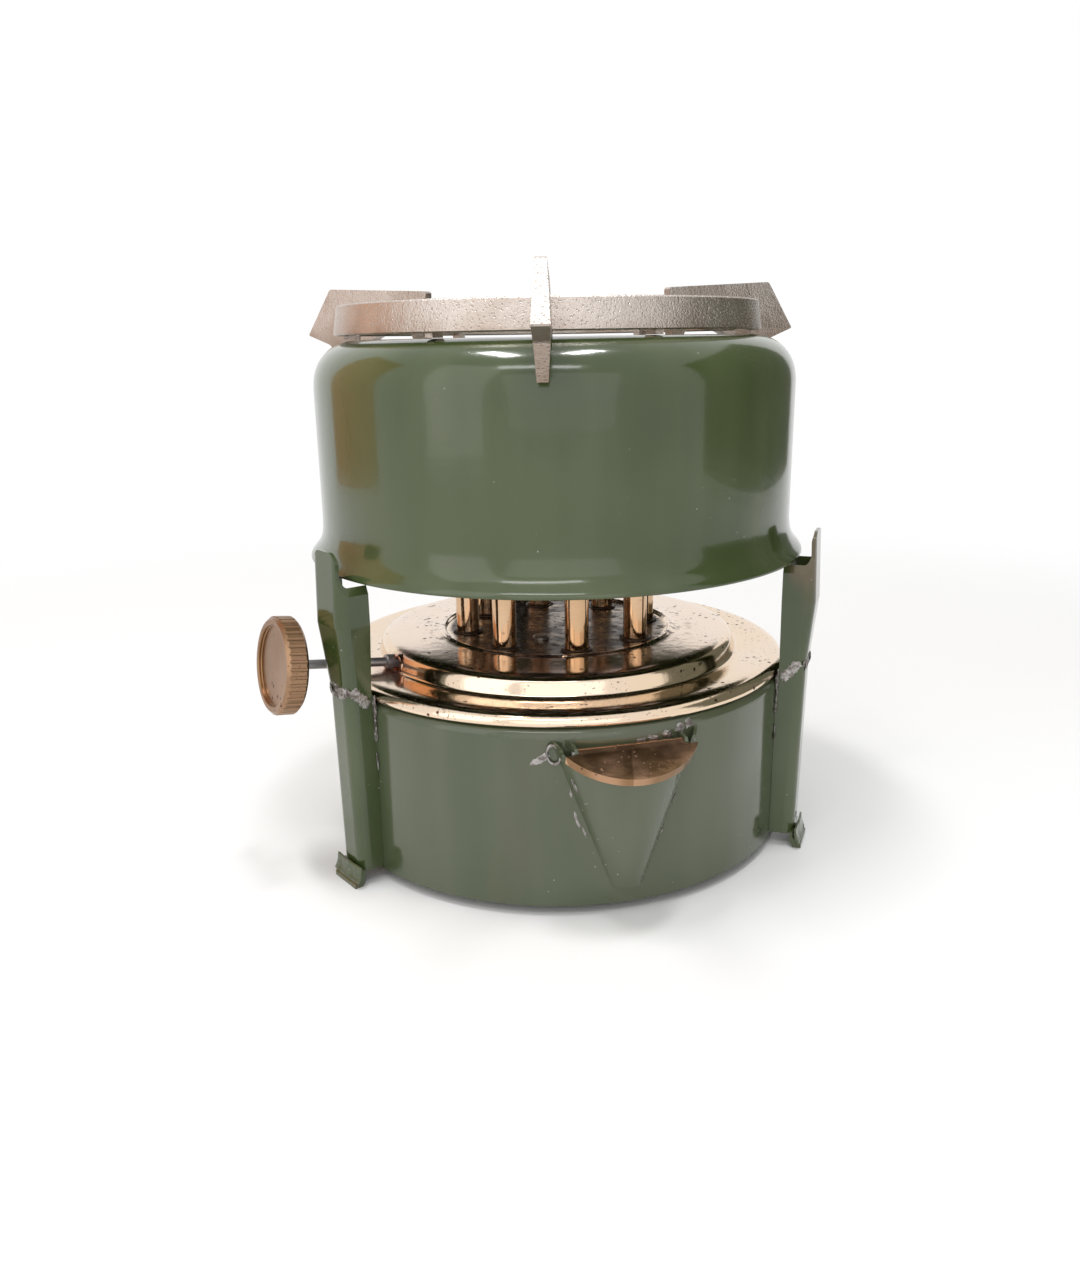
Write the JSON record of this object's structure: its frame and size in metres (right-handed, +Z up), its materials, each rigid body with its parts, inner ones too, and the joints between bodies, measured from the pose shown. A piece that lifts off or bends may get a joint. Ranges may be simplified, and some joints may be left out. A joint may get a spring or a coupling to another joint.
{
  "type": "multi-wick kerosene stove",
  "caption": "Table-top kerosene stove: round green enamelled tank and drum on pressed legs, brass burner plate with wick tubes, a knob for the wicks and a cast pan ring with fins.",
  "frame": {"origin": "on the floor, at the middle of the stove", "axes": "+Z up along the stove's axis, -Y towards the side from which the picture was taken, +X to its right"},
  "size_m": [0.2163, 0.2252, 0.2177],
  "materials": {
    "green_enamel": "glossy vitreous enamel, dark olive green",
    "brass": "polished, partly darkened",
    "steel": "plain drawn steel, dulled",
    "heat_steel": "thin sheet, darkened by heat",
    "cotton": "woven cotton",
    "cast_metal": "rough bright casting"
  },
  "bodies": {
    "stove_base": {"tank_shell": "green_enamel", "tank_bottom": "green_enamel", "burner_plate": "brass", "wick_tube_1": "brass", "wick_tube_2": "brass", "wick_tube_3": "brass", "wick_tube_4": "brass", "wick_tube_5": "brass", "wick_tube_6": "brass", "wick_tube_7": "brass", "wick_tube_8": "brass", "guide_rod": "steel", "spindle_bracket": "steel", "gland_sleeve": "brass", "gland_packing": "cotton", "leg_left": "green_enamel", "leg_right": "green_enamel", "leg_rear": "green_enamel", "filler_pocket": "green_enamel", "lid_pin": "brass", "lid_ear_left": "green_enamel", "lid_ear_right": "green_enamel"},
    "wick_drive": {"spindle": "steel", "pinion": "brass", "knob": "brass"},
    "wick_lift": {"wick_carrier": "steel", "wick_clamps": "steel", "guide_sleeve": "brass", "lift_rack": "steel", "wick_1": "cotton", "wick_2": "cotton", "wick_3": "cotton", "wick_4": "cotton", "wick_5": "cotton", "wick_6": "cotton", "wick_7": "cotton", "wick_8": "cotton"},
    "lid": {"filler_lid": "brass"},
    "drum": {"drum_wall": "green_enamel", "drum_crown": "green_enamel", "burner_base": "heat_steel", "outer_flame_cylinder": "heat_steel", "inner_flame_cylinder": "heat_steel", "flame_cap": "heat_steel", "cross_pins": "heat_steel"},
    "pan_top": {"pan_support": "cast_metal"}
  },
  "joints": [
    {"name": "knob_turn", "type": "hinge", "parent": "stove_base", "child": "wick_drive", "pos_m": [-0.00272, 0.00419, 0.0666], "axis": [-0.8301, -0.5391, 0.1426], "range_deg": [0, 113.5]},
    {"name": "wick_slide", "type": "slide", "parent": "stove_base", "child": "wick_lift", "axis": [0, 0, 1], "range_m": [0, 0.01]},
    {"name": "lid_hinge", "type": "hinge", "parent": "stove_base", "child": "lid", "pos_m": [0.02448, -0.09138, 0.063], "axis": [-0.9659, -0.2588, 0], "range_deg": [0, 110]},
    {"name": "drum_lift", "type": "slide", "parent": "stove_base", "child": "drum", "axis": [0, 0, 1], "range_m": [0, 0.05]},
    {"name": "support_lift", "type": "slide", "parent": "drum", "child": "pan_top", "axis": [0, 0, 1], "range_m": [0, 0.04]}
  ],
  "couplings": [
    {"joint": "knob_turn", "follows": "wick_slide", "rad_per_m": 197.96}
  ]
}
